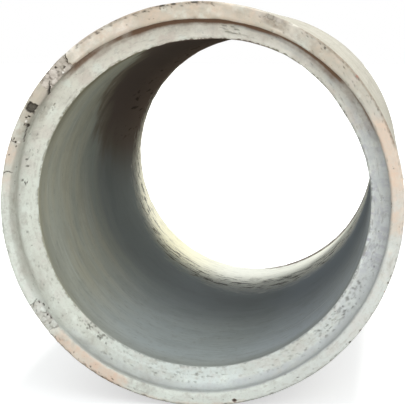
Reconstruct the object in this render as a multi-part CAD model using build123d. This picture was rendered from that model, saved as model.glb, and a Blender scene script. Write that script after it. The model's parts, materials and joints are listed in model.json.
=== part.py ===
"""A concrete sewer pipe with a tongue-and-groove joint, lying on its side.

One casting, turned from one profile: a plain bore, a flush outer wall, a groove
inside the wall at one end and the tongue that fits such a groove at the other.
The pipe lies along Y with its groove end at -Y. The origin is on the ground,
under the middle of its length. All sizes are in millimetres.
"""

import os

from build123d import *

# Driving sizes of the pipe
BORE_DIAMETER = 1000.0
WALL = 100.0
LAYING_LENGTH = 2000.0

# The joint, which is held within the wall
TONGUE_THICKNESS = 55.0
GROOVE_DEPTH = 80.0
JOINT_CLEARANCE = 6.0
JOINT_END_GAP = 4.0

# Edges: rounds as the steel mould and its end rings leave them, and the bore's edges as trimmed
GROOVE_LEAD_LENGTH = 14.0
GROOVE_LEAD_RISE = 5.0
TONGUE_LEAD_LENGTH = 16.0
TONGUE_LEAD_RISE = 6.0
GROOVE_ROOT_RADIUS = 20.0
TONGUE_ROOT_RADIUS = 10.0
OUTER_EDGE_RADIUS = 7.0
BORE_EDGE_CHAMFER = 3.0

# Radii and stations along the pipe that follow from the sizes above
bore_radius = BORE_DIAMETER / 2
outer_radius = bore_radius + WALL
tongue_radius = bore_radius + TONGUE_THICKNESS
groove_radius = tongue_radius + JOINT_CLEARANCE
tongue_length = GROOVE_DEPTH - JOINT_END_GAP
overall_length = LAYING_LENGTH + tongue_length

groove_face = -overall_length / 2
groove_floor = groove_face + GROOVE_DEPTH
tongue_face = overall_length / 2
tongue_root = tongue_face - tongue_length


def wall_profile():
    """The pipe's wall in section: radius along X, length along Y, with its edges dressed."""
    with BuildSketch() as section:
        with BuildLine():
            Polyline(
                (groove_radius + GROOVE_LEAD_RISE, groove_face),
                (outer_radius, groove_face),
                (outer_radius, tongue_root),
                (tongue_radius, tongue_root),
                (tongue_radius, tongue_face - TONGUE_LEAD_LENGTH),
                (tongue_radius - TONGUE_LEAD_RISE, tongue_face),
                (bore_radius, tongue_face),
                (bore_radius, groove_floor),
                (groove_radius, groove_floor),
                (groove_radius, groove_face + GROOVE_LEAD_LENGTH),
                close=True,
            )
        make_face()
        fillet(corner(section, outer_radius, groove_face), radius=OUTER_EDGE_RADIUS)
        fillet(corner(section, outer_radius, tongue_root), radius=OUTER_EDGE_RADIUS)
        fillet(corner(section, groove_radius, groove_floor), radius=GROOVE_ROOT_RADIUS)
        fillet(corner(section, tongue_radius, tongue_root), radius=TONGUE_ROOT_RADIUS)
        chamfer(corner(section, bore_radius, groove_floor), length=BORE_EDGE_CHAMFER)
        chamfer(corner(section, bore_radius, tongue_face), length=BORE_EDGE_CHAMFER)
    return section.sketch


def corner(section, radius, station):
    """The profile's corner at a radius and a station along the pipe."""
    return section.vertices().sort_by_distance(Vector(radius, station))[0]


def pipe():
    """The profile turned about its axis, then lifted so that the pipe lies on the ground."""
    turned = revolve(wall_profile(), axis=Axis.Y, revolution_arc=360)
    return Pos(0, 0, outer_radius) * turned


os.makedirs("parts", exist_ok=True)
export_step(pipe(), "parts/pipe.step")
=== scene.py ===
"""A concrete sewer pipe lying on its side, seen at its groove end.

The pipe is one casting, so it is one mesh: the wall's section turned about the pipe's axis, with close
rows and columns round the groove end and wider ones elsewhere. The mesh is then worn as a pipe is in a
yard, with an uneven cast skin, nibbled edges, blow holes and places where the rim has broken away.

Angles go counter-clockwise round the groove end from its right, in degrees. Lengths are in metres, and
"along" is the place along the pipe, from the groove end to the tongue end.
"""

import json
import math

import bpy
import numpy as np
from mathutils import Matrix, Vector, noise


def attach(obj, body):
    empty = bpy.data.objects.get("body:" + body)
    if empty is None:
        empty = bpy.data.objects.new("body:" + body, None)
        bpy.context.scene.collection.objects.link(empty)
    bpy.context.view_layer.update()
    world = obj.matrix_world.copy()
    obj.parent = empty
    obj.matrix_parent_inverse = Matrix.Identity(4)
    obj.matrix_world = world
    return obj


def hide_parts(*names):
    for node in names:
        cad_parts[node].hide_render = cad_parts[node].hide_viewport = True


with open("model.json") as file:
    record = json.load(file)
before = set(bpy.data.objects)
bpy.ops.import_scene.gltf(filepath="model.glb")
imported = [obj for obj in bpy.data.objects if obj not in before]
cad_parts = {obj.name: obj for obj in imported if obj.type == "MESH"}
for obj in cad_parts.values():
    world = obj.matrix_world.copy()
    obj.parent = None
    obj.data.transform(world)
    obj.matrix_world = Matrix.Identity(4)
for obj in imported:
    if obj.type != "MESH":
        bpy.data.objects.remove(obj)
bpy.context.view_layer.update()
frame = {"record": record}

MM = 0.001

# The pipe's sizes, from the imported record
mounts = {mount["name"]: mount for mount in frame["record"]["mounts"]}


def radius_of(name):
    """The radius of a round mount."""
    return mounts[name]["dims"]["r_mm"] * MM


def ends_of(name):
    """Where a round mount's wall starts and ends along the pipe."""
    middle = mounts[name]["pos_m"][1]
    half = mounts[name]["dims"]["length_mm"] * MM / 2
    return middle - half, middle + half


axis_height = mounts["bore"]["pos_m"][2]
outer_radius = axis_height
bore_radius = radius_of("bore")
groove_radius = radius_of("groove")
tongue_radius = radius_of("tongue")
groove_face = mounts["groove_end_face"]["pos_m"][1]
tongue_face = mounts["tongue_end_face"]["pos_m"][1]
bore_near, bore_far = ends_of("bore")
groove_wall_near, groove_wall_far = ends_of("groove")
tongue_wall_near, tongue_wall_far = ends_of("tongue")

# The section's dressed edges
OUTER_EDGE_RADIUS = 7 * MM
GROOVE_LEAD_RISE = 5 * MM
TONGUE_LEAD_RISE = 6 * MM
TONGUE_ROOT_RADIUS = 10 * MM
bore_chamfer = tongue_face - bore_far
groove_floor = bore_near - bore_chamfer
groove_root_radius = groove_floor - groove_wall_far
groove_mouth_radius = groove_radius + GROOVE_LEAD_RISE
tongue_root = tongue_wall_near - TONGUE_ROOT_RADIUS

# How closely the mesh is spaced: columns, rows, how far the fine rows reach and how far the rows take to
# widen from there, and at how many angles the columns' crowding is weighed
FINE_COLUMNS = 1000
FINE_PER_COARSE = 4
FINE_ROW = 3 * MM
RIM_ROW = 2.5 * MM
COARSE_ROW = 60 * MM
FINE_REACH = 40 * MM
COARSE_REACH = 0.3
TRIED_ANGLES = 7201

# The steel form's joints: two seams along the barrel, and a line round it at each end ring
SEAM_ANGLES = (8, 188)
SEAM_WIDTH = 5 * MM
SEAM_HEIGHT = 2.2 * MM
RING_LINE_INSET = 62 * MM
RING_LINE_WIDTH = 4 * MM
RING_LINE_HEIGHT = 1.4 * MM

# Where the bore turns from its paler near end to the painted shade of its darker middle, along the pipe
BORE_SHADE_FROM = -0.5
BORE_SHADE_TO = 0.25
# Where the crown of the bore turns to a brown painted shade: from and to along the pipe at the axis's height,
# and how much sooner at the crown itself
CROWN_SHADE_FROM = -0.09
CROWN_SHADE_TO = 0.48
CROWN_SHADE_SOONER = 0.82
# How the sun shines into the far end: the side of the bore that it falls on, in degrees, and how deep it
# reaches
SUN_SIDE = 262
SUN_REACH = 0.32
# Which side of the far end gets a pale painted pool of sky light, in degrees, how deep it reaches on the
# whole, and how much deeper there
SKY_LIGHT_SIDE = 297
SKY_LIGHT_REACH = 0.36
SKY_LIGHT_SWING = 0.33
# How wide the soft bands are that the packer head left round the bore
TROWEL_BAND = 0.17
# A long scratch low on the right of the bore: its place along the pipe, its ends as shares of the radius,
# and how softly it ends
SCRATCH_ALONG = -0.635
SCRATCH_FROM = 0.47
SCRATCH_TO = 0.72
SCRATCH_END = 0.03

# Where columns crowd together: middle and half width in degrees, and how many times closer they get
CROWDED = (
    (139, 9, 2.2),
    (152, 6, 2.6),
    (161, 4, 1.6),
    (170.5, 1.5, 1.6),
    (216, 8, 2.2),
    (68, 5, 1.4),
    (97, 6, 0.8),
    (322, 13, 0.9),
    (266, 13, 0.7),
    (232, 6, 1.0),
    (SEAM_ANGLES[0], 0.7, 9),
    (SEAM_ANGLES[1], 0.7, 9),
)

# Faces that meet at more than this many degrees show a sharp edge
SHARP_ANGLE = 38

# Parts of the surface, by which the finish is chosen
RIM, BARREL, TONGUE, BORE, GROOVE = range(5)


def easing(start, end, first_step, last_step):
    """Places on a straight leg of the section, as (radius, along), from its start to just before its end,
    with steps that change evenly from the first to the last.
    """
    start, end = np.array(start), np.array(end)
    length = np.linalg.norm(end - start)
    count = max(1, round(2 * length / (first_step + last_step)))
    steps = np.linspace(first_step, last_step, count)
    share = (np.cumsum(steps) - steps) / steps.sum()
    return start + (end - start) * share[:, None]


def legs(start, *ends):
    """Places on straight legs that follow one another, each given by where it ends and its steps."""
    found = []
    for radius, along, *steps in ends:
        found.append(easing(start, (radius, along), steps[0], steps[-1]))
        start = (radius, along)
    return np.concatenate(found)


def arc(centre, radius, start, end, count):
    """Places on an arc of the section, from its start angle until just before its end angle."""
    turn = np.radians(start + (end - start) * np.arange(count) / count)
    return np.array(centre) + radius * np.stack([np.cos(turn), np.sin(turn)], 1)


def wall_section():
    """The wall's section once round, as runs of (places, part of the surface, if its columns are fine)."""
    edge = OUTER_EDGE_RADIUS
    barrel_near = groove_face + edge
    barrel_coarse = barrel_near + FINE_REACH
    barrel_far = tongue_root - edge
    ring_near = groove_face + RING_LINE_INSET
    ring_far = tongue_root - RING_LINE_INSET
    ring_half = 2 * RING_LINE_WIDTH
    bore_coarse = bore_near + FINE_REACH
    ramp = COARSE_REACH
    tongue_nose = tongue_radius - TONGUE_LEAD_RISE
    tongue_foot = tongue_radius + TONGUE_ROOT_RADIUS
    cove_start = groove_radius - groove_root_radius
    outer, bore = outer_radius, bore_radius
    on_barrel = legs(
        (outer, barrel_coarse),
        (outer, ring_near + ring_half, RING_LINE_WIDTH),
        (outer, ring_near + ramp, 10 * MM, COARSE_ROW),
        (outer, ring_far - ramp, COARSE_ROW),
        (outer, ring_far - ring_half, COARSE_ROW, 10 * MM),
        (outer, ring_far + ring_half, RING_LINE_WIDTH),
        (outer, barrel_far, 9 * MM),
    )
    on_tongue = legs(
        (tongue_radius, tongue_wall_near),
        (tongue_radius, tongue_wall_far, 10 * MM),
        (tongue_nose, tongue_face, 5 * MM),
        (bore + bore_chamfer, tongue_face, 7 * MM),
        (bore, bore_far, FINE_ROW),
    )
    in_bore = legs(
        (bore, bore_far),
        (bore, bore_far - ramp, 6 * MM, COARSE_ROW),
        (bore, bore_coarse + ramp, COARSE_ROW),
        (bore, bore_coarse, COARSE_ROW, 10 * MM),
    )
    up_floor = legs(
        (bore, bore_near),
        (bore + bore_chamfer, groove_floor, 2 * MM),
        (cove_start, groove_floor, FINE_ROW),
    )
    return [
        (legs((groove_mouth_radius, groove_face), (outer - edge, groove_face, RIM_ROW)), RIM, True),
        (arc((outer - edge, barrel_near), edge, -90, 0, 4), RIM, True),
        (legs((outer, barrel_near), (outer, barrel_coarse, FINE_ROW, 3 * FINE_ROW)), BARREL, True),
        (on_barrel, BARREL, False),
        (arc((outer - edge, barrel_far), edge, 0, 90, 4), TONGUE, False),
        (legs((outer - edge, tongue_root), (tongue_foot, tongue_root, 7 * MM)), TONGUE, False),
        (arc((tongue_foot, tongue_wall_near), TONGUE_ROOT_RADIUS, -90, -180, 4), TONGUE, False),
        (on_tongue, TONGUE, False),
        (in_bore, BORE, False),
        (legs((bore, bore_coarse), (bore, bore_near, 3 * FINE_ROW, FINE_ROW)), BORE, True),
        (up_floor, GROOVE, True),
        (arc((cove_start, groove_wall_far), groove_root_radius, 90, 0, 9), GROOVE, True),
        (legs((groove_radius, groove_wall_far), (groove_radius, groove_wall_near, 6 * MM)), GROOVE, True),
        (legs((groove_radius, groove_wall_near), (groove_mouth_radius, groove_face, 4 * MM)), RIM, True),
    ]


def crowded_angles(count):
    """Angles of the columns in radians, closer together where there is damage or a seam to show."""
    turn = np.linspace(0, 360, TRIED_ANGLES)
    weight = np.ones_like(turn)
    for middle, half_width, extra in CROWDED:
        apart = np.abs((turn - middle + 180) % 360 - 180)
        weight += extra * np.clip(1.5 - apart / half_width, 0, 1)
    passed = np.concatenate([[0], np.cumsum((weight[1:] + weight[:-1]) / 2)])
    return np.radians(np.interp(np.arange(count) / count * passed[-1], passed, turn))


class Skin:
    """The pipe's surface as points: where each lies, which way it faces, and what shows there."""

    MASKS = ("broken", "stone_tone", "crevice", "chalk", "clay", "damp", "silt", "grime", "soil", "rust")

    def __init__(self):
        runs = wall_section()
        section = np.concatenate([places for places, part, fine in runs])
        ahead = np.roll(section, -1, 0) - np.roll(section, 1, 0)
        facing = np.stack([ahead[:, 1], -ahead[:, 0]], 1) / np.linalg.norm(ahead, axis=1)[:, None]
        parts = np.concatenate([np.full(len(places), part) for places, part, fine in runs])
        fine = np.concatenate([np.full(len(places), fine) for places, part, fine in runs])
        fine_angles = crowded_angles(FINE_COLUMNS)
        columns = [fine_angles if row else fine_angles[::FINE_PER_COARSE] for row in fine]
        self.counts = [len(angles) for angles in columns]
        self.angle = np.concatenate(columns)
        self.radius = np.repeat(section[:, 0], self.counts)
        self.along = np.repeat(section[:, 1], self.counts)
        self.out = np.repeat(facing, self.counts, 0)
        self.part = np.repeat(parts, self.counts)
        self.groove_end = self.along < groove_floor + FINE_REACH
        for mask in self.MASKS:
            setattr(self, mask, np.zeros(len(self.angle)))

    def places(self):
        """The points in the pipe's own frame."""
        across = self.radius * np.cos(self.angle)
        up = axis_height + self.radius * np.sin(self.angle)
        return np.stack([across, self.along, up], 1)

    def degrees(self):
        """The points' angles in degrees."""
        return np.degrees(self.angle)

    def round_from(self, angle):
        """Arc length of the points from an angle, positive counter-clockwise."""
        return np.radians((self.degrees() - angle + 180) % 360 - 180) * self.radius

    def sink(self, depth):
        """Push the points into the wall."""
        self.radius = self.radius - depth * self.out[:, 0]
        self.along = self.along - depth * self.out[:, 1]

    def darken(self, mask, amount):
        """Raise a mask to an amount where it is lower."""
        setattr(self, mask, np.maximum(getattr(self, mask), amount))

    def faces(self):
        """Faces between each row and the next, and the part of the surface that each belongs to."""
        starts = np.concatenate([[0], np.cumsum(self.counts)[:-1]])
        found, parts = [], []
        for row, count in enumerate(self.counts):
            after = (row + 1) % len(self.counts)
            here, there = starts[row], starts[after]
            if count == self.counts[after]:
                new = even_strip(here, there, count)
            elif count > self.counts[after]:
                new = stepped_strip(here, there, self.counts[after], False)
            else:
                new = stepped_strip(there, here, count, True)
            found.extend(new)
            parts.extend([self.part[here]] * len(new))
        return found, parts


def even_strip(here, there, count):
    """Quads between two rows with as many columns."""
    strip = []
    for column in range(count):
        beside = (column + 1) % count
        strip.append((here + column, there + column, there + beside, here + beside))
    return strip


def stepped_strip(fine, coarse, count, turned):
    """Triangles between a fine row and a coarse one, turned round where the coarse row comes first."""
    strip = []
    fine_count = count * FINE_PER_COARSE
    for column in range(count):
        first, last = coarse + column, coarse + (column + 1) % count
        near = [fine + (column * FINE_PER_COARSE + step) % fine_count for step in range(FINE_PER_COARSE + 1)]
        half = FINE_PER_COARSE // 2
        fan = [(near[step], first, near[step + 1]) for step in range(half)]
        fan.append((near[half], first, last))
        fan += [(near[step], last, near[step + 1]) for step in range(half, FINE_PER_COARSE)]
        strip.extend(face[::-1] if turned else face for face in fan)
    return strip


def rough(places, size, octaves=3):
    """Noise from about -1 to 1 at each place, in lumps about as wide as the size."""
    scaled = places / size
    return np.array([noise.fractal(Vector(place), 1.0, 2.0, octaves) for place in scaled])


def eased(value, low, high):
    """0 below low, 1 above high and a smooth slope between."""
    share = np.clip((value - low) / (high - low), 0, 1)
    return share * share * (3 - 2 * share)


def cast_unevenly(skin):
    """The slight lumps of a cast skin, with more play on the long walls than on the joint."""
    places = skin.places()
    long_wall = np.isin(skin.part, (BARREL, BORE))
    depth = rough(places, 0.28, 2) * np.where(long_wall, 1.8 * MM, 0.8 * MM)
    depth += rough(places, 0.035) * np.where(skin.groove_end, 0.5 * MM, 0)
    skin.sink(depth)


def raise_form_lines(skin):
    """The fins left along the barrel by the steel form's seams, and the lines at its end rings."""
    on_barrel = skin.part == BARREL
    places = skin.places()
    unevenness = 0.7 + 0.5 * rough(places, 0.11, 2)
    for angle in SEAM_ANGLES:
        fin = np.exp(-((skin.round_from(angle) / SEAM_WIDTH) ** 2))
        skin.sink(np.where(on_barrel, -SEAM_HEIGHT * fin * unevenness, 0))
    for line in (groove_face + RING_LINE_INSET, tongue_root - RING_LINE_INSET):
        ridge = np.exp(-(((skin.along - line) / RING_LINE_WIDTH) ** 2))
        skin.sink(np.where(on_barrel, -RING_LINE_HEIGHT * ridge * unevenness, 0))


# How far the bore's edge in the groove is worn round
BORE_EDGE_WEAR = 8 * MM
# How far the bore's edge has moved out by wear, or in where the crown sags, at angles in degrees, in
# millimetres
BORE_EDGE_SHIFT = (
    (0, 3), (16, 5), (32, 1), (48, 7), (56, 8), (64, 6), (76, 0), (90, -9), (100, -12), (112, -11), (128, -8),
    (140, -4), (160, 0), (210, 3), (240, 0), (300, -2), (340, 0),
)
BORE_EDGE_REACH = 0.35
# How far the groove's lip is worn round, at angles in degrees, in millimetres
LIP_WEAR = (
    (0, 5), (62, 5), (122, 6), (130, 9), (136, 18), (147, 17), (153, 11), (170, 14), (205, 14), (216, 8),
    (228, 5), (270, 8), (320, 5),
)
# How far the lip has moved out by wear, or in where mortar hangs over it, in the same way
LIP_SHIFT = (
    (0, -2), (20, -2), (40, -5), (58, -10), (75, -14), (90, -15), (118, -13), (135, -5), (150, 4), (165, 12),
    (190, 16), (205, 16), (216, 7), (225, -2), (250, -2), (270, -2), (300, -3), (330, -3),
)
LIP_REACH = 35 * MM
# How round the groove's root is where mortar and dirt have filled it, in the same way
ROOT_FILL = ((0, 34), (60, 26), (120, 20), (140, 28), (165, 46), (235, 52), (262, 42), (300, 34), (340, 36))


def all_round(skin, table):
    """Lengths in millimetres given at some angles, as lengths at each point."""
    angles, lengths = np.array(table).T
    return np.interp(skin.degrees(), angles, lengths, period=360) * MM


def wear_edge(skin, radius, along, width):
    """Wear an edge of the section round over a width, which may change round the pipe."""
    width = width * (1 + 0.3 * rough(skin.places(), 0.09, 2))
    from_edge = np.hypot(skin.radius - radius, skin.along - along)
    skin.sink(0.41 * width * np.clip(1 - from_edge / width, 0, 1) ** 2)


def shift_lip(skin):
    """Move the groove's lip in or out, with less and less of the move across the rim and into the groove."""
    rim_edge = outer_radius - OUTER_EDGE_RADIUS
    across = np.clip((rim_edge - skin.radius) / (rim_edge - groove_mouth_radius), 0, 1)
    inward = 1 - eased(skin.along - groove_face, 0, LIP_REACH)
    on_lip = skin.groove_end & (skin.radius > groove_radius - 2 * MM)
    uneven = 1 + 0.08 * rough(skin.places(), 0.05, 2)
    move = all_round(skin, LIP_SHIFT) * uneven * across * inward
    skin.radius = skin.radius + np.where(on_lip, move, 0)


def shift_bore_edge(skin):
    """Move the bore's edge in or out, with less and less of the move up the floor and into the bore."""
    floor_width = groove_radius - groove_root_radius - bore_radius
    up_floor = np.clip(1 - (skin.radius - bore_radius) / floor_width, 0, 1)
    into_bore = 1 - eased(skin.along - groove_floor, 0, BORE_EDGE_REACH)
    inside = (skin.part == BORE) | (skin.groove_end & (skin.part == GROOVE))
    uneven = 1 + 0.2 * rough(skin.places(), 0.06, 2)
    move = all_round(skin, BORE_EDGE_SHIFT) * uneven * up_floor * into_bore
    skin.radius = skin.radius + np.where(inside, move, 0)


def fill_root(skin):
    """Fill the groove's root to a rounder corner."""
    fill = all_round(skin, ROOT_FILL) * (1 + 0.2 * rough(skin.places(), 0.08, 2))
    from_wall = groove_radius - skin.radius
    from_floor = groove_floor - skin.along
    in_root = skin.groove_end & (skin.part == GROOVE) & (from_wall < fill) & (from_floor < fill)
    away = np.hypot(fill - from_wall, fill - from_floor)
    pull = np.where(in_root & (away > fill), fill / np.maximum(away, fill), 1)
    skin.radius = groove_radius - fill + (fill - from_wall) * pull
    skin.along = groove_floor - fill + (fill - from_floor) * pull


def nibble_edge(skin, radius, along, count, longest, deepest, seed):
    """Small chips at random round an edge of the section."""
    chance = np.random.default_rng(seed)
    from_edge = np.hypot(skin.radius - radius, skin.along - along)
    near = np.flatnonzero(from_edge < longest)
    depth = np.zeros(len(skin.angle))
    for angle in chance.uniform(0, 360, count):
        half = longest * chance.uniform(0.25, 1) / 2
        round_share = skin.round_from(angle)[near] / half
        bite = np.clip(1 - round_share**2 - (from_edge[near] / (0.7 * half + 1 * MM)) ** 2, 0, 1)
        depth[near] = np.maximum(depth[near], deepest * chance.uniform(0.3, 1) * bite**0.6)
    skin.sink(depth)
    # Painted shade in the chips
    skin.darken("crevice", 0.35 * eased(depth, 0.2 * MM, deepest))


# Places where the rim has broken away: from and to in degrees, then radii and depth in millimetres, how pale
# the mortar is there, and how ragged the border is in millimetres
BREAKS = (
    {"angles": (132.4, 143.2), "radii": (557, 606), "depth": 9, "tone": 0.3, "ragged": 6},
    {"angles": (210.6, 220.4), "radii": (553, 606), "depth": 10, "tone": 0.62, "ragged": 8},
    {"angles": (64.8, 71.4), "radii": (583, 606), "depth": 3, "tone": 0.22, "ragged": 8},
)

# Stones that show: angle, then radius, width and height above their bed in millimetres, and how pale they are
STONES = (
    (133.6, 590, 19, 3, 0.25),
    (135.0, 577, 15, 2, 0.10),
    (135.4, 592, 17, 2, 0.30),
    (138.3, 582, 31, 7, 0.55),
    (139.9, 564, 20, 5, 0.62),
    (140.0, 594, 15, 3, 0.42),
    (136.0, 564, 8, 3, 0.95),
    (135.1, 567, 5, 2, 0.90),
    (142.2, 584, 18, 4, 0.50),
    (137.0, 571, 10, 1, 0.25),
    (154.4, 574, 10, 2, 0.95),
    (161.4, 588, 6, 1, 0.90),
    (161.2, 573, 9, 1, 0.85),
    (213.9, 571, 20, 6, 0.95),
    (213.3, 588, 22, 5, 0.70),
    (216.4, 588, 19, 4, 0.66),
    (216.8, 573, 14, 1, 0.45),
    (215.3, 562, 13, 2, 0.45),
    (219.3, 572, 22, 5, 0.80),
    (218.4, 590, 18, 4, 0.68),
    (219.0, 580, 12, 2, 0.70),
    (211.8, 586, 14, 2, 0.55),
    (66.8, 592, 15, 1, 0.30),
    (69.6, 594, 18, 1, 0.15),
)


def break_rim(skin, angles, radii, depth, tone, ragged):
    """Break a stretch of the rim away to a rough bed of mortar."""
    half = math.radians(angles[1] - angles[0]) / 2 * outer_radius
    round_place = skin.round_from(sum(angles) / 2) * outer_radius / skin.radius
    reach = skin.groove_end & (np.abs(round_place) < half + 4 * ragged * MM)
    at = np.flatnonzero(reach & (skin.part == RIM) & (skin.radius > (radii[0] - 4 * ragged) * MM))
    places = skin.places()[at]
    from_border = np.minimum(half - np.abs(round_place[at]), skin.radius[at] - radii[0] * MM)
    gone = eased(from_border + ragged * MM * rough(places, 16 * MM), 0, 3 * MM)
    bed = depth * MM * (1 + 0.35 * rough(places, 22 * MM)) + 1.2 * MM * rough(places, 6 * MM)
    broken_to = groove_face + np.maximum(bed, 0.5 * MM) * gone
    skin.along[at] = np.maximum(skin.along[at], broken_to)
    skin.broken[at] = np.maximum(skin.broken[at], gone)
    skin.stone_tone[at] = skin.stone_tone[at] * (1 - gone) + tone * gone


def show_stone(skin, on, angle, radius, width, height, tone):
    """A stone that stands out of the mortar, with a shadowy joint round part of it."""
    round_place = skin.round_from(angle)
    at = np.flatnonzero(on & (np.abs(round_place) < width) & (np.abs(skin.radius - radius) < width))
    places = skin.places()[at]
    uneven = 1 + 0.35 * rough(places, 0.8 * width, 2)
    away = np.hypot(round_place[at], skin.radius[at] - radius) / (width / 2) * uneven
    stone = 1 - eased(away, 0.8, 1.05)
    joint = np.exp(-(((away - 1.08) / 0.16) ** 2)) * eased(rough(places, 25 * MM, 2), -0.1, 0.5)
    skin.along[at] -= height * np.clip(1 - away**3, 0, 1) ** 0.5
    skin.along[at] = np.maximum(skin.along[at], groove_face)
    skin.along[at] += 1.5 * MM * joint
    skin.broken[at] = np.maximum(skin.broken[at], stone)
    skin.stone_tone[at] = skin.stone_tone[at] * (1 - stone) + tone * stone
    skin.crevice[at] = np.maximum(skin.crevice[at] * (1 - 0.7 * stone), 0.55 * joint)


# Holes in the rim's face: angle in degrees, then radius, length round, width across and depth in millimetres
RIM_HOLES = (
    (136.5, 591, 6, 7, 6),
    (134.6, 573, 10, 6, 5),
    (143.3, 556, 6, 5, 4),
    (152.8, 573, 6, 8, 8),
    (153.4, 579, 5, 8, 3),
    (155.5, 567, 14, 8, 12),
    (155.6, 576, 9, 4, 3),
    (161.4, 582, 6, 6, 9),
    (160.6, 589, 9, 5, 3),
    (162.6, 577, 7, 5, 3),
    (165.5, 590, 4, 4, 3),
    (211.4, 571, 9, 4, 5),
    (212.7, 565, 10, 4, 7),
    (216.0, 571, 5, 5, 4),
    (217.3, 567, 9, 4, 5),
    (214.6, 561, 6, 4, 5),
    (236.0, 590, 6, 5, 4),
    (240.5, 598, 9, 5, 4),
    (243.5, 588, 7, 4, 4),
    (268.0, 580, 6, 4, 3),
    (280.3, 590, 13, 9, 6),
    (300.0, 585, 5, 4, 3),
    (318.4, 597, 9, 7, 5),
    (322.8, 598, 6, 6, 4),
    (338.7, 596, 8, 6, 5),
    (352.0, 592, 4, 4, 3),
    (52.0, 592, 9, 6, 3),
    (44.0, 588, 7, 5, 3),
    (91.4, 598, 26, 7, 5),
    (97.4, 597, 15, 6, 5),
    (100.7, 597, 22, 7, 6),
    (105.5, 594, 10, 4, 3),
    (121.0, 591, 8, 5, 4),
)

# Blow holes in the groove's floor, in clusters: from and to in degrees, radii, how many, longest and widest
# in millimetres, and how dark their painted shade is
BLOW_HOLES = (
    ((312, 334), (508, 547), 60, 14, 7, 0.33),
    ((333, 358), (510, 549), 50, 10, 4, 0.28),
    ((296, 314), (510, 547), 28, 11, 6, 0.33),
    ((256, 282), (516, 549), 26, 11, 6, 0.3),
    ((282, 298), (520, 549), 12, 9, 6, 0.35),
    ((227, 236), (503, 526), 22, 12, 7, 0.5),
    ((205, 228), (512, 550), 26, 9, 5, 0.3),
    ((236, 256), (512, 550), 26, 9, 6, 0.35),
    ((146, 168), (526, 551), 16, 12, 4, 0.42),
    ((180, 206), (515, 552), 22, 9, 4, 0.38),
    ((73, 84), (515, 536), 15, 22, 6, 0.5),
    ((28, 62), (520, 555), 22, 9, 4, 0.3),
    ((0, 360), (504, 550), 120, 5, 4, 0.25),
)

# Specks along the rim's outer edge, in the same way
RIM_SPECKS = (
    ((84, 128), (587, 600), 60, 9, 5, 0.75),
    ((18, 62), (588, 600), 40, 8, 4, 0.6),
    ((28, 76), (562, 596), 34, 8, 4, 0.4),
    ((222, 252), (586, 600), 20, 7, 4, 0.6),
    ((298, 345), (592, 600), 16, 6, 4, 0.6),
)

POCKET = {"angle": 150.0, "radius": 580, "length": 28, "width": 28, "depth": 15}

# Cracks across or along the rim, as angle and radius from point to point, then width and depth in millimetres
RIM_CRACKS = (
    (((131.6, 601), (132.1, 595), (132.3, 584), (132.9, 576)), 3.2, 7),
    (((140.5, 579), (141.4, 573), (141.9, 568)), 2.5, 4),
    (((141.9, 568), (143.0, 564), (144.4, 559)), 5.5, 12),
    (((155.4, 568), (157.0, 566), (159.0, 565), (160.7, 563)), 3.0, 5),
    (((161.2, 597), (161.5, 584)), 2.5, 4),
    (((171.1, 597), (170.4, 588), (170.3, 582), (170.7, 573)), 2.4, 4),
    (((210.1, 570), (210.6, 582), (211.7, 596)), 1.8, 4),
)

# Cracks in the groove's floor, in the same way
FLOOR_CRACKS = (
    (((172.8, 556), (173.3, 546), (174.2, 542), (173.5, 536)), 3.0, 3),
    (((166.2, 550), (166.5, 542)), 3.0, 2),
    (((168.3, 551), (168.5, 540)), 2.5, 2),
)


def sink_hole(skin, on, angle, radius, length, width, depth, dark=1.0):
    """A bowl-shaped hole in a face that looks along the pipe, longer or shorter round it than across, with
    painted shade in it.
    """
    near = np.flatnonzero(on & (np.abs(skin.radius - radius) < 2 * (length + width)))
    round_share = skin.round_from(angle)[near] / (length / 2)
    across_share = (skin.radius[near] - radius) / (width / 2)
    bowl = np.clip(1 - round_share**2 - across_share**2, 0, 1) ** 0.5
    skin.along[near] += depth * bowl
    skin.crevice[near] = np.maximum(skin.crevice[near], dark * eased(bowl, 0.1, 0.7))


def pierce_rim(skin):
    """The holes, the square pocket and the cracks in the rim and its lip."""
    on_rim = skin.groove_end & (skin.along < groove_face + LIP_REACH) & (skin.radius > groove_radius - 5 * MM)
    off_barrel = on_rim & ((skin.part != BARREL) | (skin.along < groove_face + 8 * MM))
    for angle, radius, length, width, depth in RIM_HOLES:
        sink_hole(skin, off_barrel, angle, radius * MM, length * MM, width * MM, depth * MM)

    ragged = 3.5 * MM * rough(skin.places(), 14 * MM)
    round_gap = POCKET["length"] * MM / 2 - np.abs(skin.round_from(POCKET["angle"]))
    across_gap = POCKET["width"] * MM / 2 - np.abs(skin.radius - POCKET["radius"] * MM)
    inside = np.where(on_rim, np.minimum(round_gap, across_gap) + ragged, -1)
    pocket = eased(inside, -1.0 * MM, 3.0 * MM)
    skin.along += POCKET["depth"] * MM * pocket * (1 + 0.1 * ragged / MM)
    # Painted shade in the pocket and round its border
    border = eased(inside, -2 * MM, 1.5 * MM) * (1 - eased(inside, 2 * MM, 9 * MM))
    skin.darken("crevice", np.maximum(0.88 * pocket, border))

    run_cracks(skin, on_rim, RIM_CRACKS)


def run_cracks(skin, on, cracks):
    """Cracks from point to point in a face that looks along the pipe."""
    for points, width, depth in cracks:
        for (angle, radius), (next_angle, next_radius) in zip(points, points[1:]):
            start, end = (angle, radius * MM), (next_angle, next_radius * MM)
            crack_between(skin, on, start, end, width * MM, depth * MM)


def crack_between(skin, on, start, end, width, depth):
    """One straight stretch of a crack in a face that looks along the pipe."""
    line = np.array([math.radians(end[0] - start[0]) * start[1], end[1] - start[1]])
    place = np.stack([skin.round_from(start[0]), skin.radius - start[1]], 1)
    share = np.clip(place @ line / (line @ line), 0, 1)
    away = np.linalg.norm(place - share[:, None] * line, axis=1)
    slit = np.where(on, 1 - eased(away, 0.15 * width, 0.6 * width), 0)
    skin.along += depth * slit
    # Painted shade along the crack
    skin.darken("crevice", slit)


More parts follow.
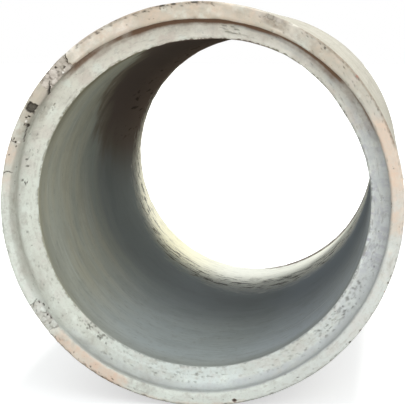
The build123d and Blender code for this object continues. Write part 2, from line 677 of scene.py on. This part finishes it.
def pit(skin, on, clusters, seed):
    """Small holes at random in clusters, stretched round the pipe as the packer head dragged them."""
    chance = np.random.default_rng(seed)
    for angles, radii, count, longest, widest, dark in clusters:
        for hole in range(count):
            angle = chance.uniform(*angles)
            radius = chance.uniform(*radii) * MM
            length = longest * MM * chance.uniform(0.45, 1)
            width = min(length, widest * MM * chance.uniform(0.5, 1))
            sink_hole(skin, on, angle, radius, length, width, 0.6 * width, dark * chance.uniform(0.5, 1.3))


# How soft a patch's border is across the rim or the groove
PATCH_BORDER = 6 * MM

# Stains, painted light and painted shade on the groove end: from and to in degrees, radii in millimetres,
# strength
# Pale paint: paler patches on the rim near the top, and painted light on the groove's floor at the upper
# right and right that lifts the shade under the lip
PALE_AND_LIGHT_PATCHES = (
    ((124, 133), (560, 640), 0.52),
    ((108, 126), (560, 640), 0.4),
    ((57, 69), (560, 640), 0.5),
    ((50, 92), (560, 640), 0.33),
    ((52, 92), (496, 548), 0.46),
    ((58, 70), (496, 548), 0.64),
    ((10, 20), (496, 545), 0.45),
)
CLAY_PATCHES = (
    ((221, 247), (562, 640), 0.68),
    ((234, 247), (564, 640), 0.9),
    ((247, 285), (588, 640), 0.4),
    ((1, 27), (560, 640), 0.72),
    ((27, 42), (552, 640), 0.15),
    ((-9, 8), (560, 640), 0.54),
    ((-28, -9), (560, 640), 0.2),
    ((42, 72), (548, 640), 0.28),
    ((72, 131), (540, 640), 0.4),
    ((144, 149), (556, 640), 0.2),
    ((162, 169), (570, 640), 0.6),
    ((169, 178), (560, 640), 0.35),
)
# Blue-grey painted shade in the groove near its root, where the rim shades it
GROOVE_SHADE_PATCHES = (
    ((-35, 22), (510, 566), 0.6),
    ((22, 62), (520, 566), 0.4),
    ((280, 325), (540, 566), 0.7),
    ((62, 80), (535, 566), 0.6),
    ((225, 280), (545, 566), 0.5),
)
# Olive-grey painted shade on the groove's wall
WALL_SHADE_PATCHES = (
    ((124, 160), (550, 600), 0.6),
    ((160, 208), (550, 600), 0.7),
    ((208, 256), (550, 600), 0.12),
    ((256, 300), (550, 600), 0.25),
)
# The same darker olive-grey in blotches on the groove's floor
FLOOR_BLOTCH_PATCHES = (
    ((196, 226), (535, 580), 0.35),
    ((226, 262), (526, 580), 0.5),
    ((140, 160), (536, 580), 0.35),
)
# Dark brown painted shade in the groove's root, under its lip
LIP_SHADE_PATCHES = (
    ((66, 113), (540, 600), 1.0),
    ((112, 122), (544, 600), 0.85),
    ((121, 136), (548, 600), 0.7),
    ((40, 70), (545, 600), 0.95),
    ((22, 40), (552, 600), 0.65),
    ((34, 124), (533, 600), 0.42),
    ((16, 34), (535, 600), 0.34),
    ((-14, 22), (562, 600), 0.3),
)
SOIL_PATCHES = (
    ((16, 62), (593, 640), 0.75),
    ((50, 64), (560, 640), 0.46),
    ((62, 72), (566, 640), 0.62),
    ((72, 82), (560, 640), 0.36),
    ((84, 128), (590, 640), 0.6),
    ((150, 162), (560, 590), 0.42),
    ((145, 153), (540, 562), 0.5),
    ((176, 195), (560, 640), 0.3),
    ((220, 230), (560, 640), 0.3),
    ((223, 250), (597, 640), 0.55),
    ((246, 258), (560, 590), 0.36),
    ((300, 345), (598, 640), 0.4),
    ((228, 236), (498, 518), 0.4),
)
RUST_SPOTS = ((280.3, 590, 9), (40.0, 599, 8), (336.0, 599, 5))


def lay_patches(skin, mask, on, patches, blur):
    """Raise a mask over patches of the groove end, with soft borders, the softer ones round the pipe."""
    for (start, end), (inner, outer), strength in patches:
        middle, half = (start + end) / 2, math.radians(end - start) / 2 * outer_radius
        round_gap = half - np.abs(skin.round_from(middle))
        across_gap = np.minimum(skin.radius - inner * MM, outer * MM - skin.radius)
        cover = eased(round_gap, -blur, blur) * eased(across_gap, -PATCH_BORDER, PATCH_BORDER)
        skin.darken(mask, on * strength * cover)


def stain_and_paint_light(skin):
    """Clay dust, soil and rust where a yard leaves them; pale patches and painted light; painted shade in the
    groove, on its wall and under its lip; darker blotches on its floor.
    """
    depth = skin.along - groove_face
    groove = skin.groove_end & (depth > 4 * MM) & (skin.radius < outer_radius - 10 * MM)
    groove &= np.isin(skin.part, (RIM, GROOVE))
    wall = groove * eased(depth, 4 * MM, 12 * MM) * (1 - eased(depth, 40 * MM, 66 * MM))
    lay_patches(skin, "chalk", skin.groove_end, PALE_AND_LIGHT_PATCHES, 45 * MM)
    lay_patches(skin, "clay", skin.groove_end & (depth < 12 * MM), CLAY_PATCHES, 45 * MM)
    lay_patches(skin, "damp", groove, GROOVE_SHADE_PATCHES, 40 * MM)
    lay_patches(skin, "silt", wall, WALL_SHADE_PATCHES, 60 * MM)
    lay_patches(skin, "silt", groove, FLOOR_BLOTCH_PATCHES, 60 * MM)
    lay_patches(skin, "grime", groove, LIP_SHADE_PATCHES, 70 * MM)
    lay_patches(skin, "soil", skin.groove_end, SOIL_PATCHES, 40 * MM)
    for angle, radius, width in RUST_SPOTS:
        away = np.hypot(skin.round_from(angle), skin.radius - radius * MM)
        skin.darken("rust", np.where(skin.groove_end, 1 - eased(away, 0.3 * width * MM, width * MM), 0))


def worn_skin():
    """The pipe's surface with all its wear."""
    skin = Skin()
    raise_form_lines(skin)
    cast_unevenly(skin)
    fill_root(skin)
    shift_lip(skin)
    shift_bore_edge(skin)
    lip = groove_mouth_radius + all_round(skin, LIP_SHIFT)
    bore_edge = bore_radius + all_round(skin, BORE_EDGE_SHIFT)
    wear_edge(skin, lip, groove_face, all_round(skin, LIP_WEAR))
    wear_edge(skin, bore_edge, groove_floor, np.full(len(skin.angle), BORE_EDGE_WEAR))
    chipped = (
        (outer_radius, groove_face, 170, 20, 3.5, 31),
        (lip, groove_face, 120, 12, 2.0, 32),
        (bore_edge, groove_floor, 420, 18, 4.5, 33),
        (outer_radius, tongue_root, 60, 45, 4.0, 34),
        (tongue_radius, tongue_face, 60, 45, 5.0, 35),
        (bore_radius, tongue_face, 60, 40, 3.0, 36),
    )
    for radius, along, count, longest, deepest, seed in chipped:
        nibble_edge(skin, radius, along, count, longest * MM, deepest * MM, seed)
    for damage in BREAKS:
        break_rim(skin, **damage)
    on_rim = skin.groove_end & (skin.part == RIM)
    for angle, radius, width, height, tone in STONES:
        show_stone(skin, on_rim, angle, radius * MM, width * MM, height * MM, tone)
    pierce_rim(skin)
    pit(skin, on_rim, RIM_SPECKS, seed=22)
    on_floor = skin.groove_end & (skin.part == GROOVE)
    pit(skin, on_floor, BLOW_HOLES, seed=21)
    run_cracks(skin, on_floor, FLOOR_CRACKS)
    stain_and_paint_light(skin)
    return skin


# Node helpers


class Flow:
    """What a node gives out, which is added, taken away, multiplied and divided as a number is."""

    def __init__(self, socket):
        self.socket = socket
        self.tree = socket.id_data

    def __add__(self, other):
        return maths("ADD", self, other)

    def __sub__(self, other):
        return maths("SUBTRACT", self, other)

    def __mul__(self, other):
        return maths("MULTIPLY", self, other)

    def __truediv__(self, other):
        return maths("DIVIDE", self, other)


def feed(socket, value):
    """Set a socket to a value, or link to it what another node gives out."""
    if isinstance(value, Flow):
        socket.id_data.links.new(value.socket, socket)
    else:
        socket.default_value = value


def add(tree, kind, inputs=None, **settings):
    """A new node, with its settings made and its inputs fed."""
    made = tree.nodes.new(kind)
    for name, value in settings.items():
        setattr(made, name, value)
    for name, value in (inputs or {}).items():
        feed(made.inputs[name], value)
    return made


def given_by(tree, kind, inputs=None, output=0, **settings):
    """What a new node gives out."""
    return Flow(add(tree, kind, inputs, **settings).outputs[output])


def maths(operation, first, second=0.0, clamp=False):
    """The result of one sum, of which at least one value comes from a node."""
    tree = (first if isinstance(first, Flow) else second).tree
    return given_by(tree, "ShaderNodeMath", {0: first, 1: second}, operation=operation, use_clamp=clamp)


def paint(colour):
    """A colour for a socket: from a node, or red, green and blue from 0 to 255 as the eye reads them."""
    if isinstance(colour, Flow):
        return colour
    linear = [((c / 255 + 0.055) / 1.055) ** 2.4 if c > 10 else c / 255 / 12.92 for c in colour]
    return (*linear, 1.0)


def mixed(share, first, second):
    """Two colours mixed by a share."""
    inputs = {0: share, 6: paint(first), 7: paint(second)}
    return given_by(share.tree, "ShaderNodeMix", inputs, 2, data_type="RGBA")


def ranged(value, low, high, end=1.0, start=0.0):
    """A value brought from between low and high to between start and end, smoothly and no further."""
    inputs = {"Value": value, "From Min": low, "From Max": high, "To Min": start, "To Max": end}
    return given_by(value.tree, "ShaderNodeMapRange", inputs, interpolation_type="SMOOTHSTEP")


def speckle(place, scale, detail, roughness):
    """Noise from 0 to 1."""
    inputs = {"Vector": place, "Scale": scale, "Detail": detail, "Roughness": roughness}
    return given_by(place.tree, "ShaderNodeTexNoise", inputs)


def split(place):
    """A place's three measures."""
    return [Flow(measure) for measure in add(place.tree, "ShaderNodeSeparateXYZ", {0: place}).outputs]


def shown(tree, mask):
    """A mask that the mesh carries."""
    return given_by(tree, "ShaderNodeAttribute", output="Fac", attribute_name=mask)


def new_group(name, inputs, outputs):
    """An empty shader group with named sockets, what its inputs give, and its output sockets."""
    group = bpy.data.node_groups.new(name, "ShaderNodeTree")
    for way, sockets in (("INPUT", inputs), ("OUTPUT", outputs)):
        for socket, kind in sockets.items():
            group.interface.new_socket(socket, in_out=way, socket_type="NodeSocket" + kind)
    given = group.nodes.new("NodeGroupInput").outputs
    return group, [Flow(given[socket]) for socket in inputs], group.nodes.new("NodeGroupOutput").inputs


def cement_grain():
    """Cement paste over sand: broad clouds, patches a hand wide, finer mottling, and a sandy relief."""
    outputs = dict.fromkeys(("Clouds", "Patches", "Mottle", "Grit", "Relief"), "Float")
    group, (place,), result = new_group("Cement grain", {"Place": "Vector"}, outputs)
    mottle = speckle(place, 45.0, 5.0, 0.65)
    feed(result["Clouds"], speckle(place, 6.0, 4.0, 0.6))
    feed(result["Patches"], speckle(place, 17.0, 3.0, 0.55))
    feed(result["Mottle"], mottle)
    feed(result["Grit"], speckle(place, 130.0, 3.0, 0.6))
    feed(result["Relief"], speckle(place, 420.0, 2.0, 0.6) * 0.45 + mottle * 0.55)
    return group


def blow_holes():
    """Small round air holes, some in a field of cells, each with its own width."""
    inputs = {"Place": "Vector", "Scale": "Float", "Width": "Float", "Share": "Float"}
    group, (place, scale, width, share), result = new_group("Blow holes", inputs, {"Hole": "Float"})
    cells = add(group, "ShaderNodeTexVoronoi", {"Vector": place, "Scale": scale}).outputs
    own = add(group, "ShaderNodeSeparateColor", {0: Flow(cells["Color"])}).outputs
    from_middle = Flow(cells["Distance"]) / (width * Flow(own[0]))
    inside = maths("SUBTRACT", 1.0, from_middle, clamp=True)
    chosen = maths("LESS_THAN", Flow(own[1]), share)
    feed(result["Hole"], ranged(inside, 0.05, 0.5) * chosen)
    return group


def ragged_cover():
    """How much of a surface is covered, broken up into ragged patches."""
    inputs = {"Place": "Vector", "Cover": "Float", "Scale": "Float"}
    group, (place, cover, scale), result = new_group("Ragged cover", inputs, {"Cover": "Float"})
    rags = cover + (speckle(place, scale, 5.0, 0.65) - 0.5)
    feed(result["Cover"], ranged(rags, 0.12, 0.88) * ranged(cover, 0.0, 0.1))
    return group


def round_the_pipe():
    """Places for patterns that run round the pipe: how closely they repeat round it and across it."""
    inputs = {"Place": "Vector", "Round": "Float", "Across": "Float"}
    group, given, result = new_group("Round the pipe", inputs, {"Place": "Vector"})
    place, times_round, times_across = given
    aside, along, up = split(place)
    from_axis = given_by(group, "ShaderNodeCombineXYZ", {"X": aside, "Z": up - axis_height})
    radius = given_by(group, "ShaderNodeVectorMath", {0: from_axis}, "Value", operation="LENGTH")
    turned = split(given_by(group, "ShaderNodeVectorMath", {0: from_axis}, operation="NORMALIZE"))
    spread = {
        "X": turned[0] * times_round,
        "Y": (along + radius) * times_across,
        "Z": turned[2] * times_round,
    }
    feed(result["Place"], given_by(group, "ShaderNodeCombineXYZ", spread))
    return group


GRAIN = cement_grain()
HOLES = blow_holes()
RAGGED = ragged_cover()
ROUND = round_the_pipe()


def use(group, place, **inputs):
    """What a shared effect gives out at a place, with its own values, by name."""
    node = add(place.tree, "ShaderNodeGroup", {"Place": place, **inputs}, node_tree=group)
    return {output.name: Flow(output) for output in node.outputs}


def air_holes(place, scale, width, share):
    """Air holes, by how closely their cells repeat, how wide they are and in what share of the cells."""
    return use(HOLES, place, Scale=scale, Width=width, Share=share)["Hole"]


def ragged(place, cover, scale):
    """A cover broken up into rags, by how closely they repeat."""
    return use(RAGGED, place, Cover=cover, Scale=scale)["Cover"]


def drawn_out(place, times_round, times_across, detail, roughness):
    """Noise drawn out round the pipe or across it, by how closely it repeats each way."""
    return speckle(use(ROUND, place, Round=times_round, Across=times_across)["Place"], 1.0, detail, roughness)


def new_concrete(name, sheen=0.06):
    """A material with a matt shader, its nodes, and the place on the pipe that its patterns follow."""
    material = bpy.data.materials.new(name)
    material.use_nodes = True
    tree = material.node_tree
    tree.nodes["Principled BSDF"].inputs["Specular IOR Level"].default_value = sheen
    return material, tree, given_by(tree, "ShaderNodeTexCoord", output="Object")


def finish_concrete(tree, colour, roughness, height, depth):
    """Feed the shader its colour, roughness and relief."""
    shader = tree.nodes["Principled BSDF"].inputs
    feed(shader["Base Color"], colour)
    feed(shader["Roughness"], roughness)
    relief = {"Height": height, "Strength": 1.0, "Distance": depth}
    feed(shader["Normal"], given_by(tree, "ShaderNodeBump", relief, "Normal"))


# Stains, painted light and painted shade on the joint, from the first laid to the last:
# mask, how closely its rags repeat, share and colour
JOINT_STAINS_AND_PAINTED_LIGHT = (
    # Pale patches and painted light
    ("chalk", 30.0, 1.0, (244, 240, 230)),
    # Blue-grey painted shade in the groove
    ("damp", 22.0, 1.0, (190, 192, 192)),
    ("clay", 40.0, 0.9, (219, 192, 171)),
    # Olive-grey painted shade on the groove's wall, and darker blotches on its floor
    ("silt", 14.0, 0.6, (152, 148, 134)),
    # Dark brown painted shade under the lip
    ("grime", 14.0, 1.0, (128, 102, 84)),
    ("soil", 60.0, 0.85, (126, 112, 97)),
    ("rust", 120.0, 1.0, (152, 112, 98)),
)


def joint_concrete():
    """The rim, groove and tongue: pale cement, dusty higher up, stained, with painted light and shade, and
    stones where it has broken.
    """
    material, tree, place = new_concrete("joint_concrete")
    grain = use(GRAIN, place)
    smears = drawn_out(place, 14.0, 110.0, 3.0, 0.6)
    across, along, up = split(place)
    height = up - axis_height
    right = ranged(across, 0.0, 0.4)
    left = ranged(across, -0.1, -0.5) * ranged(height, -0.05, 0.2)
    on_floor = ranged(along, groove_face + 6 * MM, groove_face + 26 * MM)
    groove_end = ranged(along, 0.2, -0.2)
    rim_tone = mixed(left, (215, 218, 209), (206, 201, 190))
    rim_tone = mixed(right, rim_tone, (206, 208, 203))
    level = ranged(maths("ABSOLUTE", height), 0.35, 0.1)
    right_level = right * level * groove_end * on_floor
    floor_tone = mixed(right, (210, 212, 202), (204, 206, 202))
    # Lighter on the groove's floor at the right near the axis's height: painted light that lifts the shade
    # there
    floor_tone = mixed(right_level, floor_tone, (217, 221, 219))
    floor_tone = mixed(ranged(height, -0.35, -0.55), floor_tone, (209, 214, 210))
    colour = mixed(on_floor, rim_tone, floor_tone)
    dust = ranged(height, 0.0, 0.5, 0.9)
    colour = mixed(dust, colour, mixed(on_floor, (181, 169, 151), (219, 214, 202)))
    colour = mixed(dust * ranged(grain["Patches"], 0.5, 0.68, 0.45), colour, (196, 180, 166))
    colour = mixed(ranged(grain["Clouds"], 0.5, 0.72, 0.5), colour, (193, 190, 179))
    colour = mixed(ranged(grain["Patches"], 0.52, 0.64, 0.25), colour, (203, 192, 185))
    streaks = drawn_out(place, 26.0, 60.0, 4.0, 0.65)
    colour = mixed(right_level * ranged(streaks, 0.47, 0.62), colour, (182, 180, 189))
    colour = mixed(right_level * ranged(smears, 0.54, 0.66, 0.7), colour, (146, 144, 145))
    colour = mixed(ranged(grain["Patches"], 0.45, 0.3, 0.6), colour, (222, 226, 217))
    colour = mixed(ranged(grain["Mottle"], 0.52, 0.72, 0.5), colour, (180, 177, 167))
    colour = mixed(ranged(smears, 0.54, 0.74, 0.5), colour, (168, 163, 153))
    colour = mixed(ranged(grain["Grit"], 0.5, 0.7, 0.35), colour, (186, 181, 172))
    for mask, scale, share, tone in JOINT_STAINS_AND_PAINTED_LIGHT:
        cover = ragged(place, shown(tree, mask), scale)
        if mask != "grime":
            cover = cover * ranged(grain["Mottle"], 0.35, 0.6, 0.7, start=1.0)
        colour = mixed(cover * share, colour, tone)
    colour = mixed(shown(tree, "broken"), colour, broken_colour(tree, grain["Mottle"], height))
    # Painted shade in the mesh's holes, cracks and chips, and in small air holes that are only bumps
    hole = maths("MAXIMUM", air_holes(place, 62.0, 0.34, 0.1), air_holes(place, 150.0, 0.42, 0.1))
    dark = maths("MAXIMUM", shown(tree, "crevice"), hole * 0.35)
    colour = mixed(dark, colour, (84, 78, 70))
    roughness = ranged(grain["Mottle"], 0.3, 0.7, 0.95, start=0.82)
    finish_concrete(tree, colour, roughness, grain["Relief"] - hole, 2.0 * MM)
    return material


def broken_colour(tree, mottle, height):
    """The colour of a break by each stone's tone: mortar, stones and nearly white ones, warmer higher up."""
    tone = shown(tree, "stone_tone")
    warm = ranged(height, -0.1, 0.1)
    mortar = mixed(warm, (160, 157, 150), (161, 153, 141))
    stone = mixed(warm, (197, 194, 186), (204, 194, 184))
    palest = mixed(warm, (226, 228, 220), (230, 226, 217))
    colour = mixed(ranged(tone, 0.05, 0.5), mortar, stone)
    colour = mixed(ranged(tone, 0.5, 1.0), colour, palest)
    return mixed(ranged(mottle, 0.48, 0.72, 0.4), colour, (158, 149, 139))


def bore_concrete():
    """The bore: grey paste in soft bands, with painted shade inside, brown painted shade at the crown, and a
    pale painted pool of sky light at the far end.
    """
    material, tree, place = new_concrete("bore_concrete", sheen=0.0)
    grain = use(GRAIN, place)
    bands = drawn_out(place, 1.4, 9.0, 3.0, 0.5)
    across, station, up = split(place)
    along = station + (bands - 0.5) * 0.12
    wave = maths("SINE", along * (2 * math.pi / TROWEL_BAND))
    along = along + wave * (0.16 * TROWEL_BAND)
    aside = across / bore_radius
    height = (up - axis_height) / bore_radius

    # The near end, with its rings and its stained edge, and painted sky light towards the bottom
    colour = mixed(ranged(bands, 0.36, 0.64), (194, 191, 172), (189, 190, 176))
    # Lighter and bluer towards the bottom: painted sky light
    colour = mixed(ranged(height, -0.5, -0.95, 0.8), colour, (195, 204, 206))
    colour = mixed(ranged(aside, 0.0, 0.7, 0.8), colour, (186, 193, 201))
    colour = mixed(ranged(grain["Mottle"], 0.5, 0.75, 0.4), colour, (154, 154, 144))
    rings = drawn_out(place, 3.5, 48.0, 5.0, 0.7)
    colour = mixed(ranged(rings, 0.52, 0.72, 0.36), colour, (212, 216, 212))
    colour = mixed(ranged(rings, 0.48, 0.28, 0.32), colour, (146, 147, 140))
    edge = ranged(station, bore_near + 150 * MM, bore_near, 0.35) * ranged(height, 0.2, 0.8, 2.5, start=1.0)
    colour = mixed(edge, colour, (140, 134, 112))

    # Painted shade in the middle, brown painted shade at its crown, and the dark specks there
    low = ranged(aside - height, 0.2, 1.2, 0.05)
    # Painted shade deeper inside the bore, greyer on the left and bluer on the right
    deep_shade_tone = mixed(ranged(aside, -0.2, -0.9), (162, 168, 170), (143, 148, 145))
    deep_shade_tone = mixed(ranged(aside, 0.1, 0.6), deep_shade_tone, (171, 179, 187))
    colour = mixed(ranged(along + low, BORE_SHADE_FROM, BORE_SHADE_TO), colour, deep_shade_tone)
    colour = mixed(ranged(grain["Clouds"], 0.46, 0.62, 0.12), colour, (116, 118, 114))
    # Brown painted shade at the crown, its border running diagonally into the bore
    crown = station + height * CROWN_SHADE_SOONER + ranged(height, 0.85, 1.0, 0.5)
    crown = crown + ranged(grain["Clouds"], 0.3, 0.7, 0.09, start=-0.09)
    crown_shade = ranged(crown, CROWN_SHADE_FROM, CROWN_SHADE_TO) * ranged(height, -0.2, 0.62)
    colour = mixed(ranged(crown_shade, 0.0, 0.5, 0.7), colour, (126, 110, 92))
    colour = mixed(ranged(crown_shade, 0.2, 1.0), colour, (114, 101, 93))
    # Painted shade, darker at the crown towards the far end
    far_crown_shade = ranged(station, -0.1, 0.9, 0.8) * ranged(height, -0.4, 0.2)
    colour = mixed(far_crown_shade, colour, (97, 85, 77))
    specks = ranged(drawn_out(place, 26.0, 7.0, 2.0, 0.5), 0.61, 0.68) * ranged(station, 0.2, 0.5)
    colour = mixed(specks * ranged(height, 0.1, 0.3, 0.6), colour, (40, 34, 30))

    # The far end: a pale painted pool of sky light, painted shade in pits at its border, and dark brown near
    # its edge on the right
    side = math.radians(SKY_LIGHT_SIDE)
    facing_sky = aside * math.cos(side) + height * math.sin(side)
    streaks = drawn_out(place, 9.0, 36.0, 5.0, 0.7)
    reached = station - (tongue_face - SKY_LIGHT_REACH) + facing_sky * SKY_LIGHT_SWING
    # Pale tones painted where the sky and sun light the far end: painted light
    sky_light_tone = mixed(ranged(aside, -0.1, -0.7), (221, 222, 214), (237, 233, 206))
    sky_light_tone = mixed(ranged(aside, -0.68, -0.95), sky_light_tone, (252, 248, 228))
    sky_light_tone = mixed(ranged(aside, 0.3, 0.7), sky_light_tone, (248, 248, 238))
    colour = mixed(ranged(reached + (streaks - 0.5) * 0.5, -0.04, 0.2), colour, sky_light_tone)
    # Painted shade in drawn-out pits, laid only along the border of the painted pool of light
    inside = reached - ranged(aside, -0.6, -0.1, 0.07)
    some = ranged(inside, -0.05, 0.08) * ranged(inside, 0.36, 0.2, start=0.15)
    shaded_pit_marks = ranged(streaks, 0.5, 0.6) * some
    colour = mixed(shaded_pit_marks * 0.8, colour, (60, 58, 56))
    # Darker brown near the far edge, low on the right
    far_edge = station + ranged(aside, 0.4, 0.9, 70 * MM)
    far_edge = ranged(far_edge, tongue_face - 80 * MM, tongue_face - 40 * MM) * ranged(aside, -0.1, 0.35)
    far_edge = far_edge * ranged(streaks, 0.34, 0.58, start=0.42)
    colour = mixed(ragged(place, far_edge, 24.0) * 0.9, colour, (74, 56, 44))

    away = maths("ABSOLUTE", station - SCRATCH_ALONG)
    scratch = ranged(away, 4 * MM, 1 * MM) * ranged(height, 0.0, -0.2)
    scratch = scratch * ranged(aside, SCRATCH_FROM - SCRATCH_END, SCRATCH_FROM)
    scratch = scratch * ranged(aside, SCRATCH_TO + SCRATCH_END, SCRATCH_TO)
    colour = mixed(scratch * 0.7, colour, (222, 226, 226))
    # Painted shade in the chips at the bore's edge
    colour = mixed(shown(tree, "crevice"), colour, (90, 86, 78))
    roughness = ranged(bands, 0.3, 0.7, 0.9, start=0.75)
    relief = bands * 0.2 + grain["Relief"] * 0.4 - shaded_pit_marks
    finish_concrete(tree, colour, roughness, relief, 1.0 * MM)
    return material


def barrel_concrete():
    """The outside: sandy grey, drawn from its form along the pipe, with holes, rain marks and soil below."""
    material, tree, place = new_concrete("barrel_concrete")
    grain = use(GRAIN, place)
    drawn = drawn_out(place, 26.0, 1.1, 4.0, 0.6)
    runs = drawn_out(place, 1.8, 12.0, 5.0, 0.6)
    height = (split(place)[2] - axis_height) / outer_radius
    colour = mixed(ranged(grain["Clouds"], 0.36, 0.64), (178, 173, 160), (189, 185, 174))
    colour = mixed(ranged(grain["Patches"], 0.5, 0.66, 0.35), colour, (167, 162, 151))
    colour = mixed(ranged(grain["Mottle"], 0.5, 0.75, 0.4), colour, (162, 156, 143))
    colour = mixed(ranged(drawn, 0.5, 0.7, 0.35), colour, (160, 155, 144))
    rain = ranged(runs, 0.5, 0.68, 0.45) * ranged(height, 0.85, 0.3)
    colour = mixed(rain, colour, (146, 142, 132))
    soil = ragged(place, ranged(height, -0.4, -0.95, 0.8), 9.0)
    colour = mixed(soil * 0.7, colour, (150, 130, 107))
    # Painted shade in air holes that are only bumps, and in the mesh's chips
    hole = maths("MAXIMUM", air_holes(place, 38.0, 0.3, 0.3), air_holes(place, 110.0, 0.4, 0.25))
    dark = maths("MAXIMUM", hole * 0.6, shown(tree, "crevice"))
    colour = mixed(dark, colour, (96, 90, 80))
    roughness = ranged(grain["Mottle"], 0.3, 0.7, 0.95, start=0.8)
    relief = grain["Relief"] + drawn * 0.5 - hole * 1.5
    finish_concrete(tree, colour, roughness, relief, 2.5 * MM)
    return material


def placed(name, data):
    """An object in the scene."""
    made = bpy.data.objects.new(name, data)
    bpy.context.scene.collection.objects.link(made)
    return made


def pipe_object():
    """The worn pipe as one mesh, with a finish for each part of its surface."""
    skin = worn_skin()
    faces, parts = skin.faces()
    mesh = bpy.data.meshes.new("concrete_pipe")
    mesh.from_pydata(skin.places().tolist(), [], faces)
    for mask in Skin.MASKS:
        layer = mesh.attributes.new(mask, "FLOAT", "POINT")
        layer.data.foreach_set("value", getattr(skin, mask).astype(np.float32))
    finishes = [joint_concrete(), barrel_concrete(), bore_concrete()]
    for finish in finishes:
        mesh.materials.append(finish)
    joint, barrel, bore = range(len(finishes))
    finish_of = {RIM: joint, GROOVE: joint, TONGUE: joint, BARREL: barrel, BORE: bore}
    mesh.polygons.foreach_set("material_index", [finish_of[part] for part in parts])
    mesh.polygons.foreach_set("use_smooth", [True] * len(faces))
    mesh.validate()
    mesh.set_sharp_from_angle(angle=math.radians(SHARP_ANGLE))
    made = placed("concrete_pipe", mesh)
    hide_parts("pipe")
    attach(made, "root")


# The floor, a little below the pipe's lowest lumps, and how much it shines where it is looked at
FLOOR_HALF_WIDTH = 60.0
FLOOR_DROP = 2.5 * MM
FLOOR_GLOW = 0.55
WHITE = (1.0, 1.0, 1.0, 1.0)

# Large soft lamps in front: name, place, size and power
SOFTBOXES = (
    ("front_softbox", (0.8, -8.5, 1.4), (9.0, 2.6), 234.0),
    ("right_softbox", (3.6, -7.5, 4.2), (5.0, 5.0), 173.0),
)
# The lamp high behind: power, softness in degrees, and how far off it is drawn
SUN_POWER = 2.8
SUN_WIDTH = 16
SUN_AWAY = 3

# The camera: a long lens a little above the pipe and to its right
CAMERA_LENS = 132.9
CAMERA_SENSOR = 36.0
CAMERA_PLACE = (0.512, groove_face - 4.35, 1.088)
CAMERA_AIM = (0.0096, groove_face, 0.6135)


def aim(thing, target):
    """Turn a lamp or the camera towards a place."""
    thing.rotation_euler = (Vector(target) - thing.location).to_track_quat("-Z", "Y").to_euler()


def show(tree, output, as_light, looked_at):
    """One finish for the light it gives, and one where it is looked at, straight or in a mirror or glass."""
    path = add(tree, "ShaderNodeLightPath").outputs
    seen = maths("MAXIMUM", Flow(path["Is Camera Ray"]), Flow(path["Is Glossy Ray"]))
    seen = maths("MAXIMUM", seen, Flow(path["Is Transmission Ray"]))
    both = given_by(tree, "ShaderNodeMixShader", {0: seen, 1: as_light, 2: looked_at})
    add(tree, output, {"Surface": both})


def floor():
    """A plain floor: pale to look at, and grey in the light that it throws back."""
    half = FLOOR_HALF_WIDTH
    mesh = bpy.data.meshes.new("floor")
    corners = [(-half, -half, 0), (half, -half, 0), (half, half, 0), (-half, half, 0)]
    mesh.from_pydata(corners, [], [(0, 1, 2, 3)])
    made = placed("floor", mesh)
    made.location.z = -FLOOR_DROP
    material = bpy.data.materials.new("pale_floor")
    material.use_nodes = True
    tree = material.node_tree
    tree.nodes.clear()
    grey = given_by(tree, "ShaderNodeBsdfDiffuse", {"Color": paint((150, 148, 144))})
    pale = given_by(tree, "ShaderNodeBsdfDiffuse", {"Color": paint((214, 214, 214))})
    glow = given_by(tree, "ShaderNodeEmission", {"Color": WHITE, "Strength": FLOOR_GLOW})
    show(tree, "ShaderNodeOutputMaterial", grey, given_by(tree, "ShaderNodeAddShader", {0: pale, 1: glow}))
    mesh.materials.append(material)


def softbox(name, place, size, power):
    """A large soft lamp that faces the groove end."""
    light = bpy.data.lights.new(name, "AREA")
    light.shape = "RECTANGLE"
    light.size, light.size_y = size
    light.energy = power
    light.color = (0.97, 1.0, 1.0)
    lamp = placed(name, light)
    lamp.location = place
    aim(lamp, (0, groove_face, axis_height))


def daylight():
    """Soft light from all round, soft lamps in front, and one high behind that shines into the far end."""
    world = bpy.data.worlds.new("daylight")
    bpy.context.scene.world = world
    world.use_nodes = True
    tree = world.node_tree
    tree.nodes.clear()
    facing = split(given_by(tree, "ShaderNodeTexCoord", output="Generated"))
    strength = ranged(facing[1], -0.4, 0.7, 0.9, start=0.82)
    sky = given_by(tree, "ShaderNodeBackground", {"Color": (0.93, 0.975, 1.0, 1.0), "Strength": strength})
    white = given_by(tree, "ShaderNodeBackground", {"Color": WHITE, "Strength": 1.0})
    show(tree, "ShaderNodeOutputWorld", sky, white)

    for name, place, size, power in SOFTBOXES:
        softbox(name, place, size, power)

    high = bpy.data.lights.new("high_back_lamp", "SUN")
    high.energy = SUN_POWER
    high.angle = math.radians(SUN_WIDTH)
    high.color = (1.0, 0.99, 0.95)
    sun = placed("high_back_lamp", high)
    side = math.radians(SUN_SIDE)
    shining = Vector((math.cos(side), -SUN_REACH / (2 * bore_radius), math.sin(side)))
    sun.location = Vector((0, tongue_face, axis_height)) - SUN_AWAY * shining
    aim(sun, (0, tongue_face, axis_height))


def camera():
    """A camera aimed at the groove end."""
    lens = bpy.data.cameras.new("camera")
    lens.sensor_width = CAMERA_SENSOR
    lens.lens = CAMERA_LENS
    made = placed("camera", lens)
    made.location = CAMERA_PLACE
    aim(made, CAMERA_AIM)
    bpy.context.scene.camera = made


pipe_object()
floor()
daylight()
camera()
bpy.context.scene.view_settings.view_transform = "Standard"
